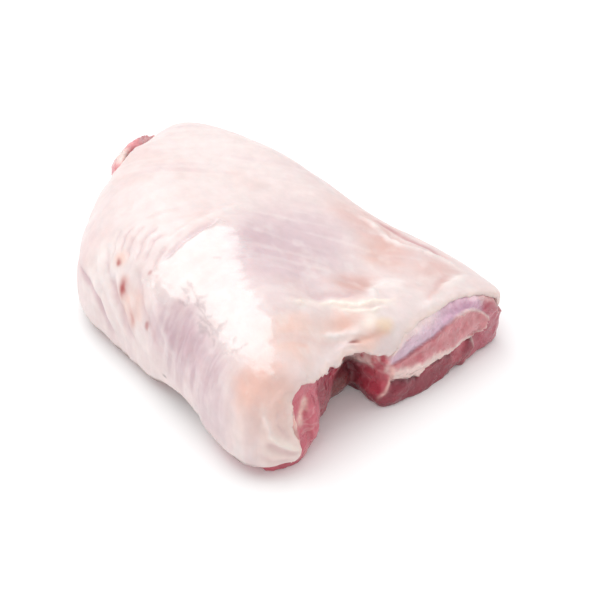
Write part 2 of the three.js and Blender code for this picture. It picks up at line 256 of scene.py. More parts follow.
# Patches of colour on the skin: colour, strength, middle, reach
SKIN_PATCHES = [
    (LILAC, 0.8, (-8, -34, 54), (24, 22, 30)),
    (LILAC, 0.7, (14, -26, 49), (20, 22, 24)),
    (DEEP_LILAC, 0.35, (-14, -24, 56), (13, 9, 14)),
    (LILAC, 0.9, (-62, -38, 37), (9, 24, 15)),
    (DEEP_LILAC, 0.9, (-61, -31, 37), (6, 13, 9)),
    (DEEP_LILAC, 0.6, (-55, -27, 45), (5, 12, 8)),
    (LILAC, 0.7, (-71, -60, 21), (8, 16, 14)),
    (SKIN_WHITE, 0.35, (5, 40, 56), (40, 34, 24)),
    (SKIN_WHITE, 0.9, (-53, 23, 41), (9, 12, 12)),
    (PEACH, 0.8, (-60, 3, 35), (6, 8, 8)),
    (PEACH, 0.85, (-35, -72, 48), (14, 11, 12)),
    (PEACH, 0.6, (-10, -74, 43), (14, 7, 9)),
    (SALMON, 0.8, (-62, -80, 42), (13, 11, 12)),
    (PEACH, 0.6, (-60, -86, 30), (14, 10, 14)),
    (RIM_FAT, 0.6, (-60, -92, 14), (14, 9, 9)),
    # the skin's warm pink, deepened as painted shade in the hollow behind the flap's fold
    (WARM_PINK, 0.9, (10, -61, 43), (12, 8, 10)),
    (SALMON, 0.6, (39, -48, 40), (11, 10, 11)),
    (WARM_PINK, 0.7, (48, -34, 41), (13, 24, 13)),
    (WARM_PINK, 0.6, (52, -68, 35), (10, 9, 8)),
    (SKIN_WHITE, 0.85, (26, -68, 40), (9, 6, 8)),
    (CREAM, 0.8, (-1, -82, 43), (6, 4, 5)),
]

# Washes over all the skin: colour, strength, whether they run with the way it hangs, flecks
SKIN_WASHES = [
    (WARM_PINK, 0.20, False, (18, 31, (0, 1.0))),
    (LILAC, 0.22, True, ((7, 4, 4), 35, (0.1, 1.0))),
    (SKIN_WHITE, 0.25, True, ((4, 3, 3), 33, (0.1, 1.0))),
    (SKIN_WHITE, 0.30, False, (6, 38, (0.1, 1.0))),
]

# Streaks in the lilac area low on the hump: colour, strength, flecks
LOW_AREA = ((-63, -42, 34), (12, 26, 16))
LOW_STREAKS = [
    (DEEP_LILAC, 0.7, ((2.6, 1.6, 1.6), 36, (-0.3, 0.8))),
    (SKIN_WHITE, 0.35, ((1.8, 1.6, 1.6), 43, (0.1, 0.9))),
]

# Small marks laid over all other colours of the skin: colour, strength, middle, reach
SKIN_MARKS = [
    (YELLOW_FAT, 0.6, (3, -85, 41), (4.5, 3.0, 4.0)),
    (SALMON, 0.5, (-11, -75, 43), 4),
    (WARM_PINK, 0.8, (-57, 8, 39), (4.4, 4.0, 4.8)),
    (BLOOD, 1.0, (-57, 8, 38.5), (3.0, 2.6, 3.4)),
    (PEACH, 0.7, (-51, 17, 46), (4.4, 4.0, 4.0)),
    (BLOOD, 1.0, (-52, 17, 44.5), (1.9, 1.7, 2.1)),
    (WARM_PINK, 0.9, (-61, -2, 30), (4.0, 3.4, 4.0)),
    (BLOOD, 0.35, (-61, -2, 30), (2.2, 2.0, 2.4)),
    (PEACH, 0.7, (-7, -85, 38), (7, 4, 5)),
    (BLOOD, 0.6, (-61, -12, 32), (1.3, 1.3, 1.8)),
    (BLOOD, 0.45, (-50, -2, 49), (1.4, 1.2, 1.4)),
    (BLOOD, 0.30, (-50, -7, 49), 1.1),
    (DARK_DOT, 0.6, (-64, -26, 16), 0.9),
    (SKIN_WHITE, 0.9, (-70, -61, 29), (1.6, 1.4, 1.4)),
]

# Lines of colour on the skin: colour, strength, half width, course
SKIN_STROKES = [
    (CREAM, 0.9, 1.9, FLAP_FOLD),
    (CREAM, 0.8, 1.5, FLAP_FOLD_LOW),
    (CREAM, 0.6, 1.6, CORNER_FOLD),
    (SKIN_WHITE, 0.8, 2.2, BULGE_EDGE),
    (SKIN_WHITE, 0.8, 2.4, LIP_RIDGE),
    # painted highlight along the ridge by the cleft
    (SKIN_WHITE, 0.9, 1.8, CLEFT_RIDGE_HIGHLIGHT),
    (BLOOD, 0.8, 1.1, CLEFT_SLIT),
    # painted shadow: a salmon line in the groove under the knob
    (SALMON, 0.7, 1.6, KNOB_SHADOW_LINE),
    # painted shade: a lilac line in the crease
    (LILAC, 0.5, 1.4, CREASE),
    (SKIN_WHITE, 0.7, 1.3, RIGHT_RIDGE),
    (STRIP_RED, 0.6, 1.6, RIGHT_STRIP),
    # painted shade: a lilac line in the groove of the left fold
    (LILAC, 0.8, 1.8, LEFT_FOLD),
    (WARM_PINK, 0.5, 2.2, FLAP_GROOVE),
]

# Tints by form: a fold's painted highlight on its ridge and painted shade in its groove, for each millimetre
# of height and at most, the rim's, and the painted shade under the hem
FOLD_PAINTED_LIGHT = 0.65
FOLD_PAINTED_LIGHT_MOST = 0.55
RIM_TINT = 0.8
RIM_TINT_REACH = 2.4
UNDER_TINT = 0.85
UNDER_FACING = (0.15, 0.45)
UNDER_Y = (-88, -78)
UNDER_Z = (16, 10)

# Scratches in the wet film, as courses in plan: long ones, and how short ones are strewn along the first
LONG_SCRATCHES = [
    [(-47, -23), (-49, -31), (-53, -42), (-55, -51)],
    [(-51, -21), (-48, -24)],
    [(-54, -23), (-52, -30)],
    [(-53, -34), (-54, -42), (-56, -50)],
    [(-58, -60), (-56, -64), (-53, -65)],
    [(-33, -21), (-29, -24)],
]
SCRATCH_HALF = 0.5
SCRATCH_TINT = 0.45
SCRATCH_DRYNESS = 0.5
STREWN_COUNT = 18
STREWN_SEED = 7
STREWN_SPREAD = 2.6
STREWN_LENGTH = (3.5, 8.0)
STREWN_HEADINGS = (-106, -43)
STREWN_TURN = 14

# Outline in plan of the wet film on the hump; the rest of the skin is drier
WET_FILM = [
    (-49, -4), (-54, -13), (-51, -24), (-53, -40), (-58, -52), (-61, -63), (-59, -78), (-53, -82),
    (-48, -76), (-38, -64), (-37, -49), (-34, -41), (-19, -23), (-15, -12), (-14, -4), (-23, -4), (-35, -4),
]

# The film's edge: how it fades, where it is drawn out in streaks or drawn back, and where it is crisp
FILM_EDGE = (-3.6, 2.6)
FILM_Z = (36, 42)
FILM_UNEVEN = (0.8, 5, 91)
FILM_LEFT_X = (-38, -50)
FILM_LEFT_STREAKS = (4.6, (2.2, 8, 5), 94)
FILM_BACK = 2.0
FILM_BACK_X = (-44, -50)
FILM_BACK_Y = (-16, -24)
FILM_RIGHT_X = (-42, -34)
FILM_RIGHT_Y = (-6, -14)
FILM_RIGHT_STREAKS = (4.5, 3, 99)
FILM_CRISP_X = (-46, -40)
FILM_CRISP_Y = (-44, -56)

# Gloss of the film, the shoulder and the drier skin, and how far a painted highlight whitens the skin where
# it is wet
FILM_GLOSS = 0.92
SHOULDER_GLOSS = 0.25
GLOSSY_X = (-14, -30)
GLOSSY_Y = (12, 14)
GLOSSY_Z = (34, 44)
DRY_GLOSS = 0.1
DRY_FLECKS = (9, 97, (-0.4, 1.0))
PAINTED_FILM_HIGHLIGHT = 0.3

# Meat colours, as sRGB
MEAT_RED = (190, 84, 98)
MEAT_PINK = (222, 142, 148)
TONGUE_PINK = (206, 132, 137)
MEAT_DARK = (142, 42, 60)
MEAT_WALL = (194, 66, 86)
LOBE_RED = (202, 92, 110)
SIDE_RED = (172, 80, 92)
STRIP_FAT = (244, 202, 192)
MEAT_BROWN = (150, 92, 88)
MEAT_LILAC = (224, 194, 210)
SILVER_MAGENTA = (196, 140, 172)
BORDER_PINK = (178, 84, 100)
MEAT_FAT = (240, 216, 209)
# Painted shade: deep in the cleft, under the fringe and on the meat under the lifted hem
PAINTED_DEEP_SHADE = (60, 22, 26)

# Lines between the bands of the flap's cut end, as heights by X, and its left corner, as X by height
FRINGE_LINE = (
    (0, 15), (10, 13.3), (17, 11.4), (25, 14.5), (33, 13.8), (44, 15.7), (50, 12.6), (56, 13.6), (60, 20),
)
TONGUE_TOP = ((0, 22), (9, 22.8), (21, 25.4), (39, 28.7), (48, 28.1), (55, 23.2), (60, 17.5))
LIP_LINE = ((3, 27), (7, 31.5), (15, 36), (35, 36.5), (46, 33), (55, 27), (63, 24), (68, 19))
CORNER_LINE = ((0, -2.5), (4, -1), (9, 2), (12, 3.5), (20, 3), (27, 2))

# Depth of the fat fringe by X, and the right end of the lower muscle by height
FRINGE_DEPTH = ((0, 5), (8, 6.5), (15, 7.5), (21, 5.5), (26, 3.2), (36, 2.4), (44, 1.6), (50, 0.8))
LOWER_END = ((0, 45), (3, 47.5), (7, 51), (12, 50.8), (16, 47.5))
SILVERSKIN_END = 56.0
TONGUE_END = 60.0

# Borders of the bands, as spans of the distance past each
BORDERS = {
    "plain": (-1, 1), "lip": (-0.8, 0.8), "right_end": (-1, 3),
    "tongue": (-0.4, 0.6), "tongue_top": (-0.4, 0.8), "tongue_end": (-1, 0),
    "silverskin": (-0.5, 0.8), "silverskin_end": (-2, 4),
    "lower_end": (-0.6, 0.8), "lower_top": (-0.5, 1),
    "fringe": (-0.5, 0.3), "fringe_depth": (-1.2, 1.4),
}
COARSE_TEETH = (0.8, (7, 7, 5), 51)
FINE_TEETH = (1.1, 2.4, 54)
TOP_TEETH = 0.4
LOWER_TEETH = 0.5

# Half widths of the pale rims and of what lies under the lip, and the shaded band under the fringe
EDGE_HALF = 0.8
LOWER_RIM_HALF = 0.9
UNDER_LIP_HALF = 4
UNDER_FRINGE = (-1.5, 1.1)

# Where parts of the cut end lie, as spans along the axes
FRONT_Y = (-62, -72)
WALL_X = (-16, -9)
WALL_CORNER_REACH = 4
WALL_CORNER_Z = (6, 18)
TOP_RIM_X = (30, 48)
BRIGHT_X = (15, 45)
MAGENTA_X = (18, 46)
LIP_FADE = 0.7
LIP_FADE_X = (20, 34)
BRIGHT_FLECKS = (7, 57, (-0.6, 0.8))
BORDER_FLECKS = (6, 56, (0.0, 0.9))
TONGUE_FLECKS = (4, 59, (-0.1, 0.9))

# How far each band stands out or sinks, and the relief of what lies between the bands
BAND_HEIGHTS = {
    "tongue": 0.9, "silverskin": -0.6, "fringe": 0.5, "edge": 0.6,
    "tongue_rim": 0.5, "lower_rim": 0.4, "under_fringe": -0.8, "border": -0.6,
}
LOOSE_RELIEF = (0.9, (10, 10, 7), 58)
BORDER_CALM = 0.8

# Pale lines on the meat: the flap's front corner, seams of the right side and back, and the hump's fat
CORNER_EDGE = [(2, -89, 29), (3, -90, 20), (3.5, -88.5, 12), (2, -88, 9), (-1, -86, 4), (-3, -85, 0)]
CORNER_EDGE_HALF = 0.8
MEAT_SEAMS = [
    [(66, -64, 20), (68, -40, 14), (67, -12, 12), (66, 14, 15), (62, 40, 20), (55, 62, 26)],
    [(68, -30, 15), (69, -8, 22), (67, 14, 27), (63, 36, 31)],
    [(64, 30, 18), (56, 60, 11), (44, 82, 8), (28, 93, 9)],
    [(48, 78, 24), (30, 90, 22), (8, 94, 20), (-14, 88, 17), (-34, 76, 12)],
    [(22, 90, 24), (12, 90, 34), (2, 84, 42)],
]
SEAM_DEPTH = 1.3
SEAM_HALF = 1.8
SEAM_FAT_HALF = 1.3
SEAM_FLECKS = (6, 78, (-0.8, 0.2))
HUMP_FAT = [
    [(-39.5, -85, 29), (-43, -85, 26), (-45, -85, 23), (-47, -86, 21), (-48, -87, 16)],
    [(-51, -89, 31), (-52.5, -91, 25), (-53, -91, 18), (-52, -90, 10)],
]
HUMP_FAT_HALF = 1.7
STRIP_FLECKS = (4, 75, (-1.1, -0.3))

# Right side and back end: where they start along X and Y, and their fibres and silverskin
FAR_SIDE_FROM = (52, 62)
FAR_SIDE = (0, 6)
SIDE_FIBRES = ((30, 30, 2.6), 102)
SIDE_GRAIN = (0.0, 0.9)
SIDE_SILVER = ((34, 34, 11), 104, (0.15, 0.7))

# The hump's lobe and the cleft, as spans and areas; painted shade fills the hollow of the cleft
LOBE_X = (-16, -22)
LOBE_Y = (-60, -68)
LOBE_SHADE_X = (-38, -28)
FIBRES_Y = (-66, -74)
CURL_Z = (16, 20)
CLEFT_SHADE_AREA = ((-6, -64, 14), (17, 13, 20))
CLEFT_SHADE_FLATNESS = 2
BROWN_AREA = ((-9, -71, 6), (7, 4, 6))
KNOB = ((2, 77, 47), (20, 14, 9))
KNOB_FAT = ((-2, 76, 48), (4.5, 7, 6))

# Flecks, marbling and fat of the meat; fat lines lie in its creases and beside the skin
PINK_FLECKS = ((14, 14, 8), 61, (-0.4, 0.9))
DARK_FLECKS = (10, 65, (0.2, 1.0))
LOBE_FLECKS = ((2.4, 2.4, 18), 67, (-0.2, 0.8))
CURL_FLECKS = (5, 79, (-0.7, 0.2))
MARBLING = ((18, 12, 9), 71)
MARBLING_LINES = (0.9, 1.0)
CREASE_BEND = (0.03, 0.12)
CREASE_ROUNDS = 6
SKIN_SIDE_FAT = 2.6
LOBE_BARENESS = 0.8

# Textures of the meat's relief
MEAT_GRAIN = ((0.30, (6, 6, 4), 81), (0.22, 2.6, 85))
LOBE_FIBRES = (0.5, (2.6, 2.6, 20), 67)
SIDE_RELIEF = ((1.0, (34, 34, 8), 88), (0.5, (16, 16, 2.4), 89))
SIDE_CALM = 0.85

# Where the meat's mesh is fine, its flap's front corner rounded, and its surface bare of skin
FINE_Y = -56.0
FINE_Z = 0.6
FINE_COVER = 1.6
FLAP_CORNER = (3, -89)
FLAP_CORNER_REACH = 6
FLAP_CORNER_Z = (0, 3)
FLAP_CORNER_ROUNDS = 30
BARE_COVER = (1.5, 3.0)
COVERED_SINK = 0.5

# Rises of the meat and places where it is drawn out, as of the skin, and how it meets the skin's lip
MEAT_SWELLS = [
    (0.7, (-55, -92, 3), (8, 8, 4)),
    (1.6, (-1, -89, 3), 6),
]
MEAT_SHIFTS = [((3.0, -2.8, 0), (-44, -86, 5), (10, 9, 16))]
LIP_FILL = 1.6
LIP_TUCK = (0, -0.8, 1.6)
LIP_TUCK_REACH = 2.4
LIP_TUCK_Z = (20, 26)

# Ranges of most of a material's noise and of the stored wetness
NOISE_RANGE = (0.3, 0.7)
WET_RANGE = (0, 1)

# Skin material: noise as waves per metre and detail, ranges of its effects, and depths in metres
SKIN_MOTTLE = (170, 6)
SKIN_STREAKS = (300, 4)
SKIN_GRAIN = (420, 4)
SKIN_PORES = (1100, 3)
SKIN_SHADE = (0.94, 1.03)
DRY_ROUGHNESS = (0.40, 0.56)
FILM_ROUGHNESS = (0.07, 0.17)
COAT_RANGE = (0.04, 1.0)
STREAK_DEPTH = 0.00016
GRAIN_DEPTH = 0.00012
PORE_DEPTH = 0.00005
SKIN_SURFACE = {
    "Subsurface Weight": 0.2,
    "Subsurface Radius": (1.0, 0.45, 0.35),
    "Subsurface Scale": 0.002,
    "Coat Roughness": 0.08,
    "Coat IOR": 1.7,
}

# Meat material
MEAT_MOTTLE = (260, 6)
MEAT_FIBRES = (520, 5)
MEAT_WET = (110, 4)
MEAT_SHADE = (0.84, 1.10)
MEAT_ROUGHNESS = (0.18, 0.42)
FIBRE_DEPTH = 0.0005
MEAT_SURFACE = {
    "Subsurface Weight": 0.2,
    "Subsurface Radius": (1.0, 0.3, 0.25),
    "Subsurface Scale": 0.002,
    "Coat Weight": 0.4,
    "Coat Roughness": 0.12,
}


# Fields over points


def lattice(cell, seed):
    """A steady number from -1 to 1 for each cell of a lattice."""
    mixed = np.sin(cell @ np.array(HASH_AXES) + seed * HASH_SEED) * HASH_SCALE
    return 2 * (mixed - np.floor(mixed)) - 1


def noise(points, wavelength, seed):
    """Smooth noise from -1 to 1; the wavelength is one number or one for each axis."""
    place = points / np.array(wavelength, float)
    cell = np.floor(place)
    share = place - cell
    share = share * share * (3 - 2 * share)
    total = np.zeros(len(points))
    for corner in np.ndindex(2, 2, 2):
        step = np.array(corner)
        weight = np.prod(np.where(step, share, 1 - share), axis=1)
        total += weight * lattice(cell + step, seed)
    return total


def rough_noise(points, wavelength, seed, octaves=3):
    """Noise with finer and fainter noise added."""
    wavelength = np.array(wavelength, float)
    return sum(noise(points, wavelength / 2 ** i, seed + i) / 2 ** i for i in range(octaves))


def texture(points, height, wavelength, seed, octaves=3):
    """Rough noise of a given height."""
    return height * rough_noise(points, wavelength, seed, octaves)


def flecks(points, wavelength, seed, span):
    """Uneven flecks from 0 to 1."""
    return ramp(rough_noise(points, wavelength, seed), *span)


def wandering(points, swing, wavelength, seed):
    """Points moved about by noise, so that what is measured from them has uneven edges."""
    moves = [rough_noise(points, wavelength, seed + 10 * axis) for axis in range(3)]
    return points + swing * np.array(moves).T


def bell(distance):
    """1 at no distance, fading away past 1."""
    return np.exp(-distance ** 2)


def band(value, middle, reach):
    """1 at the middle of a band, fading about its reach."""
    return bell((value - middle) / reach)


def ramp(value, low, high):
    """0 at low, 1 at high and smooth between; low may be the larger."""
    share = np.clip((value - low) / (high - low), 0, 1)
    return share * share * (3 - 2 * share)


def mound(points, middle, reach, flatness=1):
    """1 at the middle of an area, fading about its reach; the flatter, the more even inside it."""
    away = np.linalg.norm((points - middle) / np.array(reach, float), axis=1)
    return bell(away ** flatness)


def patch(points, middle, reach):
    """A mound with a flat middle, for an area of colour."""
    return mound(points, middle, reach, PATCH_FLATNESS)


def stroke(points, course, half):
    """1 on a line through the points of a course, fading over its half width and towards its ends."""
    course = np.array(course, float)
    lengths = np.linalg.norm(np.diff(course, axis=0), axis=1)
    nearest = np.full(len(points), np.inf)
    place = np.zeros(len(points))
    for start, end, length, before in zip(course, course[1:], lengths, np.cumsum(lengths) - lengths):
        along = (end - start) / length
        reach = np.clip((points - start) @ along, 0, length)
        gap = np.linalg.norm(points - start - reach[:, None] * along, axis=1)
        place = np.where(gap < nearest, before + reach, place)
        nearest = np.minimum(nearest, gap)
    from_end = np.minimum(place, lengths.sum() - place) / lengths.sum()
    return bell(nearest / half) * ramp(from_end, *STROKE_ENDS)


def by_line(line, place):
    """The value of a line of (place, value) points at each place."""
    places, values = zip(*line)
    return np.interp(place, places, values)


def inside_outline(points, outline):
    """How far inside a closed outline in plan each point lies, below zero outside."""
    x, y = points[:, 0], points[:, 1]
    gap = np.full(len(points), np.inf)
    crossings = np.zeros(len(points), int)
    for (x0, y0), (x1, y1) in zip(outline, outline[1:] + outline[:1]):
        span = np.array((x1 - x0, y1 - y0), float)
        share = np.clip(((x - x0) * span[0] + (y - y0) * span[1]) / (span @ span), 0, 1)
        gap = np.minimum(gap, np.hypot(x - x0 - share * span[0], y - y0 - share * span[1]))
        passes = (y0 > y) != (y1 > y)
        crossings += passes & (x < x0 + (y - y0) / (y1 - y0 or 1) * (x1 - x0))
    return np.where(crossings % 2 == 1, gap, -gap)


def distance_to(places, points):
    """How far each point lies from the nearest of some places."""
    tree = kdtree.KDTree(len(places))
    for index, place in enumerate(places):
        tree.insert(Vector(place), index)
    tree.balance()
    return np.array([tree.find(Vector(point))[2] for point in points])


# Colours


def linear(colour):
    """A colour of 0 to 255 in sRGB as linear light."""
    share = np.array(colour, float) / 255
    return np.where(share <= 0.04045, share / 12.92, ((share + 0.055) / 1.055) ** 2.4)


def plain(colour, points):
    """One colour for all points."""
    return np.tile(linear(colour), (len(points), 1))


def layered(colours, layers):
    """Colours with layers laid over them in turn, each a colour, a strength and a weight at each point."""
    for colour, strength, weight in layers:
        colours = colours + (strength * weight)[:, None] * (linear(colour) - colours)
    return colours


# Meshes


def vectors_of(items, field):
    flat = np.empty(len(items) * 3, np.float32)
    items.foreach_get(field, flat)
    return flat.reshape(-1, 3).astype(float)


def points_of(mesh):
    return vectors_of(mesh.vertices, "co") / MM - ORIGIN


def normals_of(mesh):
    return vectors_of(mesh.vertex_normals, "vector")


def set_points(mesh, points):
    mesh.vertices.foreach_set("co", ((points + ORIGIN) * MM).astype(np.float32).ravel())
    mesh.update()


def store_colour(mesh, name, colours):
    layer = mesh.color_attributes.new(name, "FLOAT_COLOR", "POINT")
    solid = np.ones((len(colours), 1))
    layer.data.foreach_set("color", np.hstack((np.clip(colours, 0, 1), solid)).astype(np.float32).ravel())


def store(mesh, name, kind, field, values):
    layer = mesh.attributes.new(name, kind, "POINT")
    layer.data.foreach_set(field, values.astype(np.float32).ravel())


def neighbour_mean(mesh):
    """A function that gives, for values held at the vertices, the mean of each vertex's neighbours."""
    flat = np.empty(len(mesh.edges) * 2, np.int32)
    mesh.edges.foreach_get("vertices", flat)
    first, second = flat.reshape(-1, 2).T
    count = len(mesh.vertices)
    degree = np.bincount(first, minlength=count) + np.bincount(second, minlength=count)

    def mean(values):
        columns = []
        for column in values.T:
            total = np.bincount(first, weights=column[second], minlength=count)
            total += np.bincount(second, weights=column[first], minlength=count)
            columns.append(total / degree)
        return np.array(columns).T

    return mean


def smooth(mesh, rounds, steps, weight=np.ones(1)):
    """Moves vertices towards the mean of their neighbours by weight, with all the steps in each round."""
    points = points_of(mesh)
    mean = neighbour_mean(mesh)
    for _ in range(rounds):
        for step in steps:
            points = points + step * weight[:, None] * (mean(points) - points)
    set_points(mesh, points)


def shifted(moved, points, shifts):
    """Moved points, with what lies about each of some places moved further."""
    for move, middle, reach in shifts:
        moved = moved + mound(points, middle, reach)[:, None] * move
    return moved


def welded(mesh):
    """A mesh's surface with its facets joined."""
    shell = bmesh.new()
    shell.from_mesh(mesh)
    bmesh.ops.remove_doubles(shell, verts=shell.verts, dist=WELD)
    return shell


def fine_copy(node, name, voxel):
    """A new object with the node's surface as an even fine mesh."""
    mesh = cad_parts[node].data.copy()
    mesh.materials.clear()
    shell = welded(mesh)
    shell.to_mesh(mesh)
    shell.free()
    piece = bpy.data.objects.new(name, mesh)
    bpy.context.scene.collection.objects.link(piece)
    remesh = piece.modifiers.new("even", "REMESH")
    remesh.mode = "VOXEL"
    remesh.voxel_size = voxel * MM
    graph = bpy.context.evaluated_depsgraph_get()
    fine = bpy.data.meshes.new_from_object(piece.evaluated_get(graph))
    piece.modifiers.clear()
    piece.data = fine
    fine.shade_smooth()
    return piece


def refine(mesh, wanted):
    """Splits the edges whose two ends are wanted."""
    shell = bmesh.new()
    shell.from_mesh(mesh)
    shell.verts.ensure_lookup_table()
    edges = [e for e in shell.edges if wanted[e.verts[0].index] and wanted[e.verts[1].index]]
    bmesh.ops.subdivide_edges(shell, edges=edges, cuts=1, use_grid_fill=True)
    bmesh.ops.triangulate(shell, faces=[f for f in shell.faces if len(f.verts) > 4])
    shell.to_mesh(mesh)
    shell.free()
    mesh.shade_smooth()


def rim_points(node):
    """Points along the sharp edges of a node's solid."""
    shell = welded(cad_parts[node].data)
    places = []
    for edge in shell.edges:
        if len(edge.link_faces) == 2 and edge.calc_face_angle() > SHARP_EDGE:
            places.append((edge.verts[0].co + edge.verts[1].co) / 2 / MM - Vector(ORIGIN))
    shell.free()
    return places


# Skin


def drape(points):
    """Coordinates that follow the way the skin hangs: the first runs across its wrinkles, the others along.

    On the left flank the wrinkles run straight down, and over the hump they bend round to the flap.
    """
    x, y, z = points.T
    past_the_ridge = DRAPE_BLEND * np.log1p(np.exp((x - DRAPE_RIDGE_X) / DRAPE_BLEND))
    return np.array((y + DRAPE_TURN * past_the_ridge, DRAPE_STRETCH * x, DRAPE_STRETCH * z)).T


def skin_lines(near):
    """Height and presence at each point of each fold and wrinkle."""
    return [(rise, stroke(near, course, half)) for half, rise, course in SKIN_LINES]


def skin_height(points, lines):
    """How far the skin's outside stands out from the smooth form."""
    x, y, z = points.T
    hang = drape(points)
    height = sum(texture(points, *wave) for wave in SKIN_WAVES)
    for rise, presence in lines:
        height += rise * presence
    for rise, middle, reach in SKIN_SWELLS:
        height += rise * mound(points, middle, reach)
    shoulder = ramp(x, *SHOULDER_X) * band(y, *SHOULDER_Y)
    height += shoulder * np.abs(texture(hang, *SHOULDER_PLEATS))
    flank = ramp(x, *FLANK_X) * ramp(z, *FLANK_Z)
    height += flank * np.abs(texture(hang, *FLANK_PLEATS))
    height += mound(points, *LUMP) * (texture(points, *LUMP_CRUMPLE) + texture(hang, *LUMP_RIPPLE))
    curtain = ramp(y, *CURTAIN_Y) * ramp(x, *CURTAIN_X)
    height += curtain * texture(points, *CURTAIN_RIPPLE)
    return height + ramp(x, *RIGHT_X) * texture(points, *RIGHT_RIPPLE)


def scratch_courses():
    """The long scratches, and short ones strewn beside the first in one of two headings."""
    draw = np.random.default_rng(STREWN_SEED)
    spine = np.array(LONG_SCRATCHES[0], float)
    courses = list(LONG_SCRATCHES)
    for _ in range(STREWN_COUNT):
        place = draw.uniform(0, len(spine) - 1)
        middle = np.array([np.interp(place, range(len(spine)), axis) for axis in spine.T])
        middle[0] += draw.normal(0, STREWN_SPREAD)
        heading = math.radians(draw.choice(STREWN_HEADINGS) + draw.normal(0, STREWN_TURN))
        half = draw.uniform(*STREWN_LENGTH) / 2 * np.array((math.cos(heading), math.sin(heading)))
        courses.append([middle - half, middle + half])
    return courses


def scratched(points):
    """1 on the scratches, seen in plan."""
    plan = wandering(points, *SCRATCH_WANDER)[:, :2]
    return np.max([stroke(plan, course, SCRATCH_HALF) for course in scratch_courses()], axis=0)


def skin_colours(points, near, rim, lines, scratches):
    hang = drape(points)
    uneven = wandering(points, *PATCH_WANDER)
    uneven[:, 1] += texture(hang, *PATCH_STREAKS)
    low = patch(uneven, *LOW_AREA)
    layers = [(colour, strength, patch(uneven, *area)) for colour, strength, *area in SKIN_PATCHES]
    for colour, strength, hung, look in SKIN_WASHES:
        layers.append((colour, strength, flecks(hang if hung else points, *look)))
    for colour, strength, look in LOW_STREAKS:
        layers.append((colour, strength, low * flecks(hang, *look)))
    # Painted highlight on the ridge of each fold and painted shade in its groove, by its height
    for rise, presence in lines:
        strength = min(FOLD_PAINTED_LIGHT * abs(rise), FOLD_PAINTED_LIGHT_MOST)
        layers.append((SKIN_WHITE if rise > 0 else PAINTED_FOLD_SHADE, strength, presence))
    for colour, strength, half, course in SKIN_STROKES:
        layers.append((colour, strength, stroke(near, course, half)))
    layers.append((SCRATCH, SCRATCH_TINT, scratches))
    layers.append((RIM_FAT, RIM_TINT, bell(rim / RIM_TINT_REACH)))
    layers += [(colour, strength, patch(near, *area)) for colour, strength, *area in SKIN_MARKS]
    return layered(plain(SKIN_BASE, points), layers)


def wetness(points, scratches):
    """Near 1 on the wet film, which has streaked edges and scratches, and near 0 on the drier skin."""
    x, y, z = points.T
    edge = inside_outline(points, WET_FILM) + texture(points, *FILM_UNEVEN)
    edge += ramp(x, *FILM_LEFT_X) * texture(points, *FILM_LEFT_STREAKS)
    edge -= FILM_BACK * ramp(x, *FILM_BACK_X) * ramp(y, *FILM_BACK_Y)
    right = ramp(x, *FILM_RIGHT_X) * ramp(y, *FILM_RIGHT_Y)
    edge += right * texture(drape(points), *FILM_RIGHT_STREAKS)
    crisp = ramp(x, *FILM_CRISP_X) * ramp(y, *FILM_CRISP_Y)
    film = ramp(edge * (1 + crisp), *FILM_EDGE) * ramp(z, *FILM_Z) * (1 - SCRATCH_DRYNESS * scratches)
    shoulder = ramp(x, *GLOSSY_X) * band(y, *GLOSSY_Y) * ramp(z, *GLOSSY_Z)
    dry = DRY_GLOSS * flecks(points, *DRY_FLECKS) + SHOULDER_GLOSS * shoulder
    return np.maximum(FILM_GLOSS * film, dry)


def lifted_hem(points):
    """1 where the skin's lower left edge stands off the floor."""
    x, y, z = points.T
    middle, reach = HEM_Y
    return bell(((y - middle) / reach) ** 2) * ramp(x, *HEM_X) * ramp(z, *HEM_Z)


def outward(points, normals):
    """How far a skin surface faces out, below zero on the side that lies on the muscle."""
    return np.sum(normals * (points - THIGH_CORE), axis=1)


def skin_shape(points, normals, rim, lines):
    """The points of the skin with its folds, its ragged rim and its drawn-up edges."""
    x, y, _ = points.T
    outside = ramp(outward(points, normals), *OUTSIDE)
    height = skin_height(points, lines) * outside * ramp(rim, *RELIEF_FROM_RIM)
    height += RIM_FLARE * (1 - outside) * bell(rim / RIM_FLARE_REACH)
    swing = RIM_SWING + LOBE_RIM_SWING * ramp(y, *LOBE_RIM_Y) * ramp(x, *LOBE_RIM_X)
    ragged = wandering(points, *RIM_WANDER) - points
    moved = points + normals * height[:, None] + ragged * (swing * bell(rim / RIM_SWING_REACH))[:, None]
    moved = shifted(moved, points, SKIN_SHIFTS)
    moved[:, 2] += HEM_LIFT * lifted_hem(points)
    moved[:, 2] = np.maximum(moved[:, 2], SKIN_FLOOR)
    return moved


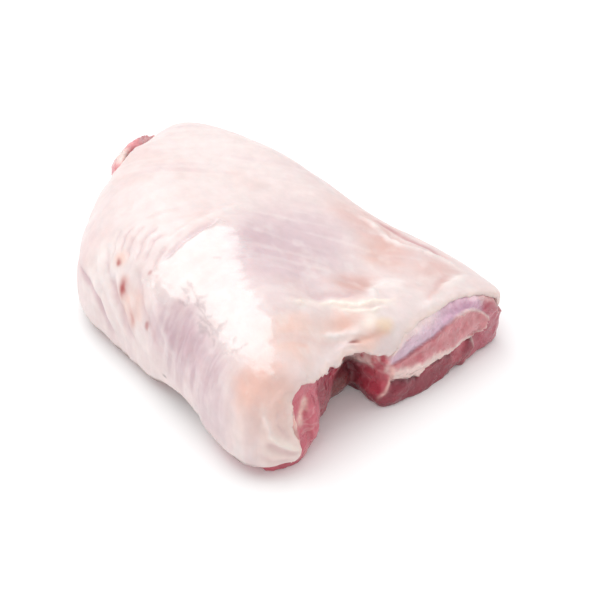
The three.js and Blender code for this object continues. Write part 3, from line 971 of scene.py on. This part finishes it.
def make_skin():
    piece = fine_copy("skin", "skin_sheet", SKIN_VOXEL)
    mesh = piece.data
    smooth(mesh, SKIN_SMOOTHING, EVEN_STEPS)
    refine(mesh, outward(points_of(mesh), normals_of(mesh)) > 0)
    smooth(mesh, SKIN_FINISH, EVEN_STEPS)
    rim_places = rim_points("skin")
    by_rim = bell(distance_to(rim_places, points_of(mesh)) / RIM_ROUNDING)
    smooth(mesh, RIM_ROUNDS, ROUNDING_STEPS, by_rim)
    points = points_of(mesh)
    normals = normals_of(mesh)
    rim = distance_to(rim_places, points)
    near = wandering(points, *LINE_WANDER)
    lines = skin_lines(near)
    set_points(mesh, skin_shape(points, normals, rim, lines))
    scratches = scratched(points)
    wet = wetness(points, scratches)
    under = ramp(-normals[:, 2], *UNDER_FACING) * ramp(points[:, 2], *UNDER_Z) * ramp(points[:, 1], *UNDER_Y)
    colours = layered(skin_colours(points, near, rim, lines, scratches), [
        # painted highlight: whiter where the skin is wet
        (SKIN_WHITE, PAINTED_FILM_HIGHLIGHT, wet),
        (HEM_SHADE, UNDER_TINT, under),
    ])
    store_colour(mesh, "tint", colours)
    store(mesh, "wet", "FLOAT", "value", wet)
    store(mesh, "hang", "FLOAT_VECTOR", "vector", drape(points) * MM)
    return piece


# Meat


def past(distance, border):
    """1 past a border between bands of the cut end and 0 before it."""
    return ramp(distance, *BORDERS[border])


class CutEnd:
    """Where a point lies among the bands of the flap's cut end; each value runs from 0 to 1."""

    def __init__(self, points):
        x, y, z = points.T
        past_corner = x - by_line(CORNER_LINE, z)
        at_front = ramp(y, *FRONT_Y)
        self.on_face = at_front * past(past_corner, "plain")
        self.wall = at_front * past(-past_corner, "plain") * ramp(x, *WALL_X)
        self.by_corner = self.wall * bell(past_corner / WALL_CORNER_REACH) * ramp(z, *WALL_CORNER_Z)
        ragged = texture(points, *COARSE_TEETH) + texture(points, *FINE_TEETH)
        above_fringe = z + ragged - by_line(FRINGE_LINE, x)
        below_top = by_line(TONGUE_TOP, x) - z + TOP_TEETH * ragged
        past_lower = x + LOWER_TEETH * ragged - by_line(LOWER_END, z)
        above_lip = z - by_line(LIP_LINE, x)
        on_lower = past(-past_lower, "plain")
        self.tongue = past(above_fringe, "tongue") * past(below_top, "tongue_top")
        self.silverskin = past(-below_top, "silverskin") * past(SILVERSKIN_END - x, "silverskin_end")
        right = np.maximum(past(x - SILVERSKIN_END, "right_end"), past(past_lower, "lower_end"))
        self.border = right * (1 - self.tongue) * (1 - self.silverskin)
        self.lip = past(above_lip + ragged, "lip") * (1 - LIP_FADE * ramp(x, *LIP_FADE_X))
        in_depth = past(by_line(FRINGE_DEPTH, x) - above_fringe, "fringe_depth")
        self.fringe = past(above_fringe, "fringe") * in_depth * self.tongue
        on_line = bell(above_fringe / EDGE_HALF)
        self.edge = on_line * on_lower
        top_rim = bell(below_top / EDGE_HALF) * ramp(x, *TOP_RIM_X)
        end_rim = on_line * past(past_lower, "plain") * past(below_top, "tongue_end")
        self.tongue_rim = np.maximum(top_rim, end_rim) * past(TONGUE_END - x, "plain")
        self.lower_rim = bell(past_lower / LOWER_RIM_HALF) * past(-above_fringe, "lower_top")
        self.under_fringe = band(above_fringe, *UNDER_FRINGE) * on_lower
        self.under_lip = bell(above_lip / UNDER_LIP_HALF) * self.on_face

    def height(self, points):
        rise = sum(height * getattr(self, name) for name, height in BAND_HEIGHTS.items())
        loose = (1 - self.tongue) * (1 - self.silverskin) * (1 - BORDER_CALM * self.border)
        return (rise + loose * texture(points, *LOOSE_RELIEF)) * self.on_face

    def colours(self, points):
        x = points[:, 0]
        return layered(plain(MEAT_DARK, points), [
            (MEAT_RED, 0.8, ramp(x, *BRIGHT_X) * flecks(points, *BRIGHT_FLECKS)),
            # painted shade under the fringe's overhang
            (PAINTED_DEEP_SHADE, 0.5, self.under_fringe),
            (BORDER_PINK, 1.0, self.border),
            (MEAT_DARK, 0.4, self.border * flecks(points, *BORDER_FLECKS)),
            (MEAT_LILAC, 1.0, self.silverskin),
            (SILVER_MAGENTA, 0.8, self.silverskin * ramp(x, *MAGENTA_X)),
            (TONGUE_PINK, 1.0, self.tongue),
            (MEAT_RED, 0.5, self.tongue * flecks(points, *TONGUE_FLECKS)),
            (MEAT_FAT, 0.85, self.fringe),
            (MEAT_FAT, 0.7, np.maximum(self.edge, self.tongue_rim)),
            (MEAT_FAT, 0.45, self.lower_rim),
            (MEAT_FAT, 1.0, self.lip),
        ])


def far_side(points):
    """1 on the thigh's right side and back end."""
    from_x, from_y = FAR_SIDE_FROM
    return ramp(np.maximum(points[:, 0] - from_x, points[:, 1] - from_y), *FAR_SIDE)


def meat_colours(points, near, crease, cover, end):
    x, y, z = points.T
    side = far_side(points)
    grain = rough_noise(wandering(points, *SIDE_WANDER), *SIDE_FIBRES)
    lobe = ramp(x, *LOBE_X) * ramp(y, *LOBE_Y)
    fibres = ramp(x, *LOBE_X) * ramp(y, *FIBRES_Y) * flecks(points, *LOBE_FLECKS)
    curls = end.wall * ramp(z, *CURL_Z) * flecks(points, *CURL_FLECKS)
    colours = layered(plain(MEAT_RED, points), [
        (MEAT_PINK, 0.6, flecks(points, *PINK_FLECKS)),
        (MEAT_DARK, 0.6, flecks(points, *DARK_FLECKS)),
        (SIDE_RED, 0.5, side),
        (MEAT_PINK, 0.5, side * ramp(grain, *SIDE_GRAIN)),
        (MEAT_DARK, 0.5, side * ramp(-grain, *SIDE_GRAIN)),
        (MEAT_LILAC, 0.4, side * flecks(points, *SIDE_SILVER)),
        (MEAT_PINK, 0.7, fibres),
        (LOBE_RED, 0.75, lobe),
        (MEAT_DARK, 0.8, lobe * ramp(x, *LOBE_SHADE_X)),
        (MEAT_WALL, 0.85, end.wall),
        (MEAT_PINK, 0.35, end.by_corner),
        (MEAT_FAT, 0.8, curls),
    ])
    colours = colours + end.on_face[:, None] * (end.colours(points) - colours)
    cleft_shade = mound(points, *CLEFT_SHADE_AREA, CLEFT_SHADE_FLATNESS)
    off_face = 1 - end.on_face
    thin_lip = LIP_FADE * end.on_face * ramp(x, *LIP_FADE_X)
    by_skin = bell(cover / SKIN_SIDE_FAT) * (1 - LOBE_BARENESS * lobe) * (1 - thin_lip)
    seam_flecks = flecks(points, *SEAM_FLECKS)
    strip_flecks = flecks(points, *STRIP_FLECKS)
    marbling = 1 - np.abs(rough_noise(points, *MARBLING))
    return layered(colours, [
        # painted shade deep in the hollow of the cleft
        (PAINTED_DEEP_SHADE, 0.82, cleft_shade),
        (MEAT_BROWN, 0.7, patch(points, *BROWN_AREA)),
        (MEAT_FAT, 0.6, ramp(crease, *CREASE_BEND) * (1 - cleft_shade) * off_face),
        (MEAT_FAT, 0.8, by_skin * (1 - cleft_shade)),
        *((MEAT_FAT, 0.6, stroke(near, course, SEAM_FAT_HALF) * seam_flecks) for course in MEAT_SEAMS),
        (STRIP_FAT, 0.8, stroke(near, CORNER_EDGE, CORNER_EDGE_HALF)),
        *((STRIP_FAT, 0.95, stroke(near, course, HUMP_FAT_HALF) * strip_flecks) for course in HUMP_FAT),
        # painted shade on the meat under the lifted hem
        (PAINTED_DEEP_SHADE, 0.8, lifted_hem(points)),
        (MEAT_PINK, 0.9, patch(points, *KNOB)),
        (MEAT_FAT, 0.9, patch(near, *KNOB_FAT)),
        (MEAT_FAT, 0.22, ramp(marbling, *MARBLING_LINES) * off_face * (1 - cleft_shade)),
    ])


def creases(mesh, points, normals):
    """How sharply the surface folds inwards, evened out over neighbouring vertices."""
    mean = neighbour_mean(mesh)
    bend = np.sum((mean(points) - points) * normals, axis=1)[:, None]
    for _ in range(CREASE_ROUNDS):
        bend = mean(bend)
    return bend[:, 0]


def meat_height(points, near, cover, end):
    """How far the meat stands out from the smooth form; it sinks a little under the skin."""
    grain = sum(texture(points, *layer) for layer in MEAT_GRAIN)
    grain += ramp(points[:, 0], *LOBE_X) * texture(points, *LOBE_FIBRES)
    side = far_side(points) * (1 - SIDE_CALM * end.on_face)
    grain += side * sum(texture(points, *layer) for layer in SIDE_RELIEF)
    for course in MEAT_SEAMS:
        grain -= SEAM_DEPTH * stroke(near, course, SEAM_HALF)
    bare = ramp(cover, *BARE_COVER)
    height = (grain + end.height(points)) * bare - COVERED_SINK * (1 - bare)
    for rise, middle, reach in MEAT_SWELLS:
        height += rise * mound(points, middle, reach)
    return height


def meat_shape(points, normals, near, cover, end):
    """The points of the meat with its relief, drawn out in places and fitted to the skin's edges."""
    height = meat_height(points, near, cover, end)
    moved = shifted(points + normals * height[:, None], points, MEAT_SHIFTS)
    moved[:, 1] -= LIP_FILL * end.under_lip
    moved[:, 0] += HEM_TUCK * lifted_hem(points)
    tucked = bell(cover / LIP_TUCK_REACH) * end.on_face * ramp(points[:, 2], *LIP_TUCK_Z)
    moved += tucked[:, None] * LIP_TUCK
    moved[:, 2] = np.maximum(moved[:, 2], 0)
    return moved


def make_meat(skin):
    piece = fine_copy("meat", "meat_body", MEAT_VOXEL)
    mesh = piece.data
    smooth(mesh, MEAT_SMOOTHING, EVEN_STEPS)
    points = points_of(mesh)
    skin_points = points_of(skin.data)[::2]
    cover = distance_to(skin_points, points)
    refine(mesh, (points[:, 1] < FINE_Y) & (cover > FINE_COVER) & (points[:, 2] > FINE_Z))
    points = points_of(mesh)
    from_corner = np.linalg.norm(points[:, :2] - FLAP_CORNER, axis=1)
    corner = bell(from_corner / FLAP_CORNER_REACH) * ramp(points[:, 2], *FLAP_CORNER_Z)
    smooth(mesh, FLAP_CORNER_ROUNDS, ROUNDING_STEPS, corner)
    points = points_of(mesh)
    normals = normals_of(mesh)
    cover = distance_to(skin_points, points)
    near = wandering(points, *MEAT_WANDER)
    end = CutEnd(points)
    set_points(mesh, meat_shape(points, normals, near, cover, end))
    crease = creases(mesh, points, normals)
    store_colour(mesh, "tint", meat_colours(points, near, crease, cover, end))
    return piece


# Materials


class Shader:
    """Short ways to add and join nodes of one material."""

    def __init__(self, name):
        self.material = bpy.data.materials.new(name)
        self.material.use_nodes = True
        self.tree = self.material.node_tree

    def fill(self, node, sockets):
        """Sets a node's sockets, each to a constant or another node's output."""
        for name, value in sockets.items():
            if isinstance(value, bpy.types.NodeSocket):
                self.tree.links.new(value, node.inputs[name])
            else:
                node.inputs[name].default_value = value

    def add(self, kind, output, sockets, **settings):
        """The named output of a new node."""
        node = self.tree.nodes.new(kind)
        for key, value in settings.items():
            setattr(node, key, value)
        self.fill(node, sockets)
        return node.outputs[output]

    def surfaced(self, sockets):
        """The material, with the sockets of its surface filled."""
        self.fill(self.tree.nodes["Principled BSDF"], sockets)
        return self.material

    def layer(self, name, output):
        """What the mesh stores under a name."""
        return self.add("ShaderNodeAttribute", output, {}, attribute_name=name)

    def noise(self, scale, detail, layer=None):
        """Noise in waves per metre, over the part's own coordinates or over a stored layer of them."""
        place = self.layer(layer, "Vector") if layer else self.add("ShaderNodeTexCoord", "Object", {})
        return self.add("ShaderNodeTexNoise", "Fac", {"Vector": place, "Scale": scale, "Detail": detail})

    def mapped(self, value, source, low, high):
        """A value mapped from its own range to the one from low to high, each a number or an output."""
        ends = dict(zip(("From Min", "From Max", "To Min", "To Max"), (*source, low, high)))
        return self.add("ShaderNodeMapRange", "Result", {"Value": value, **ends})

    def tinted(self, value, low, high):
        """The stored tint, lightened and darkened by a noise's value."""
        tint = self.layer("tint", "Color")
        sockets = {"Factor": 1.0, "A": tint, "B": self.mapped(value, NOISE_RANGE, low, high)}
        return self.add("ShaderNodeMix", "Result", sockets, data_type="RGBA", blend_type="MULTIPLY")

    def bump(self, value, depth, **under):
        """A normal bent by a value that stands for a depth in metres, over another such Normal if given."""
        sockets = {"Strength": 1.0, "Distance": depth, "Height": value, **under}
        return self.add("ShaderNodeBump", "Normal", sockets)


def skin_material():
    shader = Shader("raw_skin")
    pores = shader.noise(*SKIN_PORES)
    mottle = shader.noise(*SKIN_MOTTLE)
    grain = shader.noise(*SKIN_GRAIN)
    streaks = shader.noise(*SKIN_STREAKS, "hang")
    wet = shader.layer("wet", "Fac")
    dry = shader.mapped(grain, NOISE_RANGE, *DRY_ROUGHNESS)
    film = shader.mapped(grain, NOISE_RANGE, *FILM_ROUGHNESS)
    streaked = shader.bump(streaks, STREAK_DEPTH)
    lumpy = shader.bump(grain, GRAIN_DEPTH, Normal=streaked)
    return shader.surfaced({
        "Base Color": shader.tinted(mottle, *SKIN_SHADE),
        "Roughness": shader.mapped(wet, WET_RANGE, dry, film),
        "Coat Weight": shader.mapped(wet, WET_RANGE, *COAT_RANGE),
        "Normal": shader.bump(pores, PORE_DEPTH, Normal=lumpy),
        **SKIN_SURFACE,
    })


def meat_material():
    shader = Shader("raw_meat")
    fibres = shader.noise(*MEAT_FIBRES)
    mottle = shader.noise(*MEAT_MOTTLE)
    wet = shader.noise(*MEAT_WET)
    return shader.surfaced({
        "Base Color": shader.tinted(mottle, *MEAT_SHADE),
        "Roughness": shader.mapped(wet, NOISE_RANGE, *MEAT_ROUGHNESS),
        "Normal": shader.bump(fibres, FIBRE_DEPTH),
        **MEAT_SURFACE,
    })


def place_piece(piece, node, material):
    piece.data.materials.clear()
    piece.data.materials.append(material)
    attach(piece, "root")
    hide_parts(node)


# Studio


def make_floor():
    mesh = bpy.data.meshes.new("floor")
    corners = [(x * FLOOR_HALF, y * FLOOR_HALF, 0) for x, y in ((-1, -1), (1, -1), (1, 1), (-1, 1))]
    mesh.from_pydata(corners, [], [(0, 1, 2, 3)])
    floor = bpy.data.objects.new("floor", mesh)
    bpy.context.scene.collection.objects.link(floor)
    mesh.materials.append(Shader("studio_floor").surfaced(FLOOR_SURFACE))


def aim(thing, away):
    """Puts a thing away from the target and turns it there."""
    thing.location = TARGET + away
    thing.rotation_euler = (-away).to_track_quat("-Z", "Y").to_euler()


def make_softbox(name, direction, distance, size, power):
    lamp = bpy.data.lights.new(name, "AREA")
    lamp.shape = "RECTANGLE"
    lamp.size, lamp.size_y = size
    lamp.energy = power
    box = bpy.data.objects.new(name, lamp)
    bpy.context.scene.collection.objects.link(box)
    aim(box, Vector(direction).normalized() * distance)


def make_surround():
    world = bpy.data.worlds.new("surround")
    world.use_nodes = True
    background = world.node_tree.nodes["Background"]
    background.inputs["Color"].default_value = (1, 1, 1, 1)
    background.inputs["Strength"].default_value = SURROUND_STRENGTH
    bpy.context.scene.world = world


def make_camera():
    lens = bpy.data.cameras.new("camera")
    lens.lens = CAMERA_LENS
    lens.clip_start = CAMERA_CLIP
    camera = bpy.data.objects.new("camera", lens)
    bpy.context.scene.collection.objects.link(camera)
    azimuth = math.radians(CAMERA_AZIMUTH)
    elevation = math.radians(CAMERA_ELEVATION)
    level = math.cos(elevation)
    away = Vector((math.sin(azimuth) * level, -math.cos(azimuth) * level, math.sin(elevation)))
    aim(camera, away * CAMERA_DISTANCE * MM)
    bpy.context.scene.camera = camera


skin = make_skin()
meat = make_meat(skin)
place_piece(skin, "skin", skin_material())
place_piece(meat, "meat", meat_material())
make_floor()
for name, settings in SOFTBOXES.items():
    make_softbox(name, *settings)
make_surround()
make_camera()
bpy.context.scene.view_settings.view_transform = "Standard"
